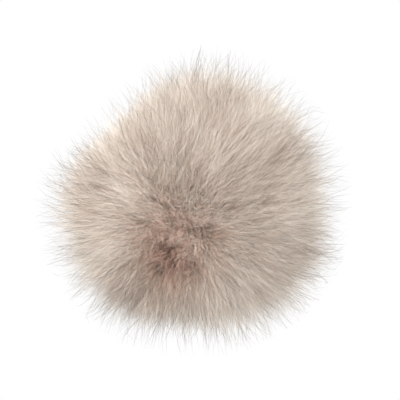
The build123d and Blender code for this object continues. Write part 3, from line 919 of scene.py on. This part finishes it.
def tab_webbing():
    """The webbing of the tab, woven along and across."""
    webbing = relief_shade_material(
        "webbing", [(0.0, (20, 20, 22)), (0.5, (48, 48, 52)), (1.0, (78, 78, 84))],
        0.8, 0.2,
    )
    rows, across = 190, 40
    path, at = tab_loop(rows)
    heading = unit(np.roll(path, -1, axis=0) - np.roll(path, 1, axis=0))
    normal = np.cross(X_AXIS, heading)
    flat = TAB_WIDTH / 2 - 0.12 * MM
    x = np.linspace(-flat, flat, across)
    sideways = np.concatenate([x, [TAB_WIDTH / 2] * 2, x[::-1], [-TAB_WIDTH / 2] * 2])
    level = np.concatenate([np.ones(across), [0.45, -0.45], -np.ones(across), [-0.45, 0.45]])
    picks = np.sin(math.tau * sideways / (0.95 * MM))
    ends = np.sin(math.tau * at / (0.8 * MM))
    weave = picks[None, :] * ends[:, None]
    lift = level[None, :] * (TAB_THICK / 2 + 0.045 * MM * weave - 0.045 * MM)
    points = path[:, None] + normal[:, None] * lift[..., None] + X_AXIS * sideways[:, None]
    # painted shade: the faces are coloured lighter where the weave is raised and darker in its hollows;
    # the edges get a fixed, darker tone
    tone = np.where(np.abs(level)[None, :] < 1, 0.35, 0.5 + 0.42 * weave)
    quads = grid_quads(rows, len(level), close_rows=True, close_columns=True)
    add_piece("pull_tab_webbing", points, quads, tone, webbing, "base", "webbing", "pull_tab")


def tab_tacks():
    """The bar tacks that pinch the loop, on its upper and under faces."""
    thread = relief_shade_material("tack_thread", [(0.0, (58, 58, 62)), (1.0, (112, 112, 118))], 0.7)
    side = np.linspace(-TACK_PLACE, TACK_PLACE, 15)
    for name, face in (("top", 1), ("under", -1)):
        centres = TAB_CENTRE + TAB_FORWARD * -TACK_PLACE + TAB_UP * face * 0.92 * MM
        centres = centres + X_AXIS * side[:, None]
        along = np.broadcast_to(unit(TAB_FORWARD + 0.18 * X_AXIS), centres.shape)
        outward = np.broadcast_to(TAB_UP * face, centres.shape)
        stitches(f"tab_tack_{name}", centres, along, outward, 2.2 * MM, 0.42 * MM, thread,
                 "webbing")


def pull_tab():
    """A loop of webbing, pinched where it is bar-tacked beside the hem and open at its tip."""
    tab_webbing()
    tab_tacks()


def bend(start, start_heading, end, end_heading, count):
    """Points along a smooth bend that leaves one way and arrives another."""
    reach = 0.9 * np.linalg.norm(end - start)
    t = np.linspace(0, 1, count)[:, None]
    return (
        start * (2 * t**3 - 3 * t**2 + 1)
        + start_heading * reach * (t**3 - 2 * t**2 + t)
        + end * (3 * t**2 - 2 * t**3)
        + end_heading * reach * (t**3 - t**2)
    )


def cord_route():
    """The middle of the cord: up one tail, round the hem's channel and down the other tail."""
    end_y = CORD_HIGH.y - CORD_R * abs(TAIL_UP[1])
    end_z = CORD_LOW.z + CORD_R * abs(TAIL_UP[2])
    end = np.array([0, end_y, end_z])
    start = end - TAIL_ALONG * CORD_TAIL
    halves = []
    for side in (-1, 1):
        offset = np.array([side * CORD_SPACING, 0, 0])
        mouth = around(np.array(math.pi - HEM_MOUTH), HEM_RING_R, HEM_Y) * np.array([side, 1, 1])
        leaving = np.array([-side * math.cos(HEM_MOUTH), 0, -math.sin(HEM_MOUTH)])
        curve = bend(mouth, leaving, start + offset, TAIL_ALONG, 60)
        halves.append(np.concatenate([curve, (end + offset)[None]]))
    turn = np.linspace(-math.pi + HEM_MOUTH, math.pi - HEM_MOUTH, 400)
    route = np.concatenate([halves[0][::-1], around(turn, HEM_RING_R, HEM_Y), halves[1]])
    gaps = np.linalg.norm(np.diff(route, axis=0), axis=1)
    return route[np.concatenate([[True], gaps > 1e-7])]


def drawcord():
    """The elastic drawcord: round the hem's channel, out of its mouth and down both tails, with a
    braided cover."""
    jacket = relief_shade_material(
        "cord_braid", [(0.0, (14, 14, 15)), (0.55, (44, 44, 48)), (1.0, (88, 88, 94))],
        0.72, 0.2,
    )
    route = cord_route()
    travelled = np.concatenate([[0], np.cumsum(np.linalg.norm(np.diff(route, axis=0), axis=1))])
    rows, sides = 1500, 20
    s = np.linspace(0, travelled[-1], rows)
    path = np.stack([np.interp(s, travelled, route[:, axis]) for axis in range(3)], axis=1)
    a = np.arange(sides)[None, :] * math.tau / sides
    twist = math.tau * s[:, None] / BRAID_PITCH
    over = np.maximum(np.abs(np.cos(2 * a + twist)), np.abs(np.cos(2 * a - twist)))
    radii = CORD_R * (0.90 + 0.10 * over)
    # painted shade: the braid is coloured darker in its hollows and lighter where its strands stand out
    tone = 0.05 + 0.9 * (over - 0.7) / 0.3
    add_piece("drawcord_braid", tube(path, radii, sides), tube_quads(rows, sides), tone, jacket,
              "base", "cord", "drawcord")


def lock_spring():
    """The cord lock's coil spring, with a closed turn at each end."""
    material = worn_finish("spring_steel_finish", ((160, 160, 163), (190, 190, 193), (215, 215, 217)),
                           (0.25, 0.4), 5000, 0.3, metallic=1.0)
    corners = np.array([v.co for v in frame["nodes"]["lock_spring"].data.vertices])
    height = corners @ TAIL_UP
    axis = LOCK_CENTRE - TAIL_UP * (LOCK_CENTRE @ TAIL_UP)
    from_axis = corners - TAIL_UP * height[:, None] - axis
    coil_r = np.linalg.norm(from_axis, axis=1).max() - SPRING_WIRE_R
    low, high = height.min() + SPRING_WIRE_R, height.max() - SPRING_WIRE_R
    rows, sides = 320, 10
    turn = np.linspace(0, SPRING_TURNS, rows)
    steady = np.clip((turn - 0.6) / (SPRING_TURNS - 1.2), 0, 1)
    climb = smoothstep(turn, 0.35, SPRING_TURNS - 0.35) * 0.35 + steady * 0.65
    a = turn * math.tau
    path = (
        axis
        + (X_AXIS * np.cos(a)[:, None] + TAIL_ALONG * np.sin(a)[:, None]) * coil_r
        + TAIL_UP * (low + (high - low) * climb)[:, None]
    )
    wire = tube(path, np.full((rows, sides), SPRING_WIRE_R), sides)
    coil = add_piece("lock_spring_coil", wire, tube_quads(rows, sides), None, material, "cord_lock",
                     "spring_steel", "lock_spring")
    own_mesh(coil)


# ---- Inside the cover: foam and gauze ----


HALVES = ("front", "front_half"), ("rear", "base")


def angle_from_nose(y, radius):
    return math.acos(max(-1.0, min(1.0, (BALL[1] - y) / radius)))


def foam():
    """The open-cell foam that lines both half cages, pitted with cells."""
    material = relief_shade_material(
        "open_cell_foam", [(0.0, (12, 12, 13)), (0.5, (44, 44, 47)), (1.0, (82, 82, 86))],
        0.95, 0.1,
    )

    def cells(normals, turns):
        small = waves(normals * BACKING_R, 2.0 * MM, 601, channels=1, terms=9)[:, 0]
        tiny = waves(normals * BACKING_R, 1.3 * MM, 602, channels=1, terms=9)[:, 0]
        pit = smoothstep(small, 0.1, 0.9) + 0.6 * smoothstep(tiny, 0.2, 0.9)
        # painted shade: the cells' pits are coloured darker than the foam round them
        return 0.85 - 0.6 * np.clip(pit, 0, 1.3), (0.12 - 0.42 * np.clip(pit, 0, 1.3)) * MM

    turn = full_turn(330)
    for half, body in HALVES:
        low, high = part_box(f"{half}_foam")
        inner = FOAM_R - FOAM_THICK
        begin = 0.012 if half == "front" else angle_from_nose(low.y, FOAM_R)
        end = angle_from_nose(high.y, FOAM_R if half == "front" else inner)
        if half == "rear":
            begin, end = begin + 0.01, end - 0.06
        theta = np.linspace(begin, end, 76 if half == "front" else 40)
        shell(f"{half}_foam_lining", (inner + FOAM_RELIEF, FOAM_R - FOAM_RELIEF), theta, turn,
              cells, material, body, "foam", f"{half}_foam")


def net_threads(least, most):
    """Threads of a square net drawn over a half of the ball, from one angle to another from its
    pole: each one's distance from the pole and where it starts and stops."""
    reach, hole = most * GAUZE_R, least * GAUZE_R
    threads = []
    for c in np.arange(-int(reach / NET_PITCH), int(reach / NET_PITCH) + 1) * NET_PITCH:
        far = math.sqrt(max(reach**2 - c**2, 0))
        near = math.sqrt(max(hole**2 - c**2, 0))
        if far < NET_PITCH:
            continue
        spans = [(-far, far)] if near == 0 else [(-far, -near), (near, far)]
        for low, high in spans:
            threads.append((c, low, high))
    return threads


def net_paths(least, most, flip):
    """The net's threads in both directions, each going over and under the ones it crosses."""
    steps = 64
    paths = []
    for family in (0, 1):
        for number, (c, start, stop) in enumerate(net_threads(least, most)):
            run = np.linspace(start, stop, steps)
            level = NET_WEAVE * np.cos(math.pi * (run / NET_PITCH + number + family))
            p, q = (np.full(steps, c), run) if family == 0 else (run, np.full(steps, c))
            theta = np.hypot(p, q) / GAUZE_R
            turn = np.arctan2(p, q)
            radius = NET_R + level
            points = around(turn, radius * np.sin(theta), 0.0)
            points[:, 1] = BALL[1] - flip * radius * np.cos(theta)
            paths.append(points)
    return np.stack(paths)


def net_edge(name, theta, flip, material, body):
    """The cord sewn round an edge of the net."""
    rows, sides = 240, 8
    turn = full_turn(rows)
    ring = around(turn, NET_R * math.sin(theta), BALL[1] - flip * NET_R * math.cos(theta))
    lumps = np.repeat(np.sin(60 * turn)[:, None], sides, axis=1)
    skin = tube(ring, NET_EDGE_R + 0.02 * MM * lumps, sides, closed=True)
    quads = grid_quads(rows, sides, close_rows=True, close_columns=True)
    # painted shade: the edge cord is coloured lighter on its lumps and darker between them
    add_piece(name, skin, quads, 0.5 + 0.4 * lumps, material, body, "gauze")


def gauze():
    """The net skin drawn over each half cage, with a corded edge."""
    material = relief_shade_material("net_thread", [(0.0, (34, 34, 36)), (1.0, (72, 72, 76))], 0.7, 0.2)
    for half, body in HALVES:
        low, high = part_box(f"{half}_gauze")
        if half == "front":
            least, most, flip = 0.0, angle_from_nose(high.y, GAUZE_R), 1
            edges = (most,)
        else:
            least = math.pi - angle_from_nose(high.y, GAUZE_R)
            most, flip = math.pi - angle_from_nose(low.y, GAUZE_R), -1
            edges = least, most
        paths = net_paths(least, most, flip)
        count = len(paths)
        tone = np.random.default_rng(71).uniform(0.2, 0.9, count)
        net = strand_mesh(f"{half}_gauze_net", paths, np.full(count, 0.2 * MM), tone, taper=0.0)
        make_piece(net, material, body, "gauze", f"{half}_gauze")
        for number, theta in enumerate(edges):
            net_edge(f"{half}_gauze_edge_{number + 1}", theta, flip, material, body)


# ---- Finishes of the moulded, rubber and steel pieces ----


def worn_finish(name, colours, roughness, grain, bump, metallic=0.0):
    """Moulded plastic, rubber or steel: mottled between two colours with a fine surface grain,
    and in a third colour wherever handling has rubbed its edges."""
    dark, light, edge = (srgb(*colour) for colour in colours)
    tree = Tree(name)
    place = tree.add("TexCoord").outputs["Object"]
    mottle, fine = tree.add("TexNoise"), tree.add("TexNoise")
    for noise, scale, detail in ((mottle, 160, 4), (fine, grain, 2)):
        set_inputs(noise, {"Scale": scale, "Detail": detail})
        tree.link(place, noise.inputs["Vector"])
    colour = tree.ramp(mottle.outputs["Fac"], [(0.3, dark), (0.7, light)])
    speckle = tree.ramp(fine.outputs["Fac"], [(0.35, (0.86,) * 3), (0.65, (1.0,) * 3)])
    colour = tree.mix(1.0, colour, speckle, "MULTIPLY")
    rounded = tree.add("Bevel")
    set_inputs(rounded, {"Radius": 0.35 * MM})
    facing = tree.add("VectorMath", operation="DOT_PRODUCT")
    tree.link(rounded.outputs["Normal"], facing.inputs[0])
    tree.link(tree.add("NewGeometry").outputs["Normal"], facing.inputs[1])
    rubbed = tree.ramp(facing.outputs["Value"], [(0.90, (0.6,) * 3), (0.995, (0.0,) * 3)])
    colour = tree.mix(rubbed, colour, edge)
    tree.link(colour, tree.bsdf.inputs["Base Color"])
    rough = tree.add("MapRange")
    set_inputs(rough, {"To Min": roughness[0], "To Max": roughness[1]})
    tree.link(mottle.outputs["Fac"], rough.inputs["Value"])
    tree.link(rough.outputs["Result"], tree.bsdf.inputs["Roughness"])
    texture = tree.add("Bump")
    set_inputs(texture, {"Strength": bump, "Distance": 0.05 * MM})
    tree.link(fine.outputs["Fac"], texture.inputs["Height"])
    tree.link(texture.outputs["Normal"], tree.bsdf.inputs["Normal"])
    set_inputs(tree.bsdf, {"Metallic": metallic})
    return tree.material


def finishes():
    """Gives each CAD piece that keeps its own shape its finish."""
    cage = worn_finish("cage_plastic_finish", ((24, 24, 26), (36, 36, 39), (70, 70, 74)),
                       (0.42, 0.6), 5200, 0.5)
    collar = worn_finish("collar_plastic_finish", ((26, 26, 28), (40, 40, 43), (84, 84, 88)),
                         (0.45, 0.62), 7000, 0.7)
    lock = worn_finish("lock_plastic_finish", ((18, 18, 20), (30, 30, 33), (72, 72, 76)),
                       (0.3, 0.46), 6000, 0.35)
    rubber = worn_finish("bush_rubber_finish", ((22, 21, 21), (38, 37, 36), (52, 51, 50)),
                         (0.72, 0.9), 4200, 0.8)
    washer = worn_finish("washer_plastic_finish", ((214, 211, 202), (226, 223, 214), (236, 234, 226)),
                         (0.28, 0.4), 3000, 0.2)
    screw = worn_finish("screw_steel_finish", ((168, 168, 172), (196, 196, 199), (220, 220, 222)),
                        (0.28, 0.45), 5000, 0.4, metallic=1.0)
    for material, *nodes in (
        (cage, "front_cage", "rear_cage"),
        (collar, "collar", "clamp_nut"),
        (lock, "lock_body", "lock_plunger", "cord_end"),
        (rubber, "mic_bush"),
        (washer, "slip_washer"),
        (screw, "collar_screws"),
    ):
        for node in nodes:
            for place in frame["nodes"][node].material_slots:
                place.material = material


# ---- Room, light and camera ----

WORLD_LIGHT = 1.2
SEEN_WHITE = 1.0
CAMERA_DISTANCE, CAMERA_FIELD = 1.1, 182 * MM  # the width in view at the ball's centre
CAMERA_RIGHT, CAMERA_UP = 3.2 * MM, 0.5 * MM  # from the ball's centre to the point looked at


def choose_for_camera(nodes, links, other, seen, output):
    """Shows the camera one shader and the rest of the scene another."""
    light_path, choose = nodes.new("ShaderNodeLightPath"), nodes.new("ShaderNodeMixShader")
    links.new(light_path.outputs["Is Camera Ray"], choose.inputs["Fac"])
    links.new(other, choose.inputs[1])
    links.new(seen, choose.inputs[2])
    links.new(choose.outputs["Shader"], nodes[output].inputs["Surface"])


def paper_floor():
    """A sheet of paper clear of the longest hairs. The camera sees it just white, and no
    brighter, so that fine hairs still show against it."""
    z, size = BALL[2] - FARTHEST_HAIR - 1 * MM, 6.0
    corners = [(-size, -size, z), (size, -size, z), (size, size, z), (-size, size, z)]
    mesh = bpy.data.meshes.new("floor")
    mesh.from_pydata(corners, [], [(0, 1, 2, 3)])
    tree = Tree("floor_paper")
    set_inputs(tree.bsdf, {"Base Color": (0.6, 0.6, 0.6, 1), "Roughness": 0.9})
    paper = tree.add("Emission")
    set_inputs(paper, {"Strength": SEEN_WHITE})
    choose_for_camera(tree.nodes, tree.links, tree.bsdf.outputs["BSDF"], paper.outputs["Emission"],
                      "Material Output")
    mesh.materials.append(tree.material)
    put_in_scene("floor", mesh)


def white_room():
    """Even white light from all round, which the camera sees as just white."""
    world = bpy.data.worlds.new("studio")
    bpy.context.scene.world = world
    world.use_nodes = True
    nodes, links = world.node_tree.nodes, world.node_tree.links
    seen, lit = nodes.new("ShaderNodeBackground"), nodes["Background"]
    for background, strength in ((seen, SEEN_WHITE), (lit, WORLD_LIGHT)):
        set_inputs(background, {"Color": (1, 1, 1, 1), "Strength": strength})
    choose_for_camera(nodes, links, lit.outputs["Background"], seen.outputs["Background"],
                      "World Output")


def lamps():
    """A soft key light in front and above, and a weaker fill from the right."""
    for name, offset, size, power in (
        ("key", (-0.3, -0.7, 1.15), 0.8, 21.0),
        ("fill", (0.7, -0.9, 0.5), 1.0, 8.0),
    ):
        lamp = bpy.data.lights.new(name, "AREA")
        lamp.shape = "DISK"
        lamp.size = size
        lamp.energy = power
        light = put_in_scene(name, lamp)
        place = Vector(BALL) + Vector(offset)
        light.location = place
        light.rotation_euler = (Vector(BALL) - place).to_track_quat("-Z", "Y").to_euler()


def camera():
    """The photo's view: a little above the ball, and almost straight at its crown."""
    data = bpy.data.cameras.new("camera")
    data.sensor_width = 36
    data.lens = data.sensor_width * CAMERA_DISTANCE / CAMERA_FIELD
    holder = put_in_scene("camera", data)
    target = Vector(BALL + VIEW_RIGHT * CAMERA_RIGHT + VIEW_UP * CAMERA_UP)
    back = Vector(VIEW_BACK)
    holder.location = target + back * CAMERA_DISTANCE
    holder.rotation_euler = (-back).to_track_quat("-Z", "Y").to_euler()
    bpy.context.scene.camera = holder
    bpy.context.scene.view_settings.view_transform = "Standard"


backing()
short_coats()
long_coats()
hem()
pull_tab()
drawcord()
lock_spring()
foam()
gauze()
finishes()
paper_floor()
white_room()
lamps()
camera()
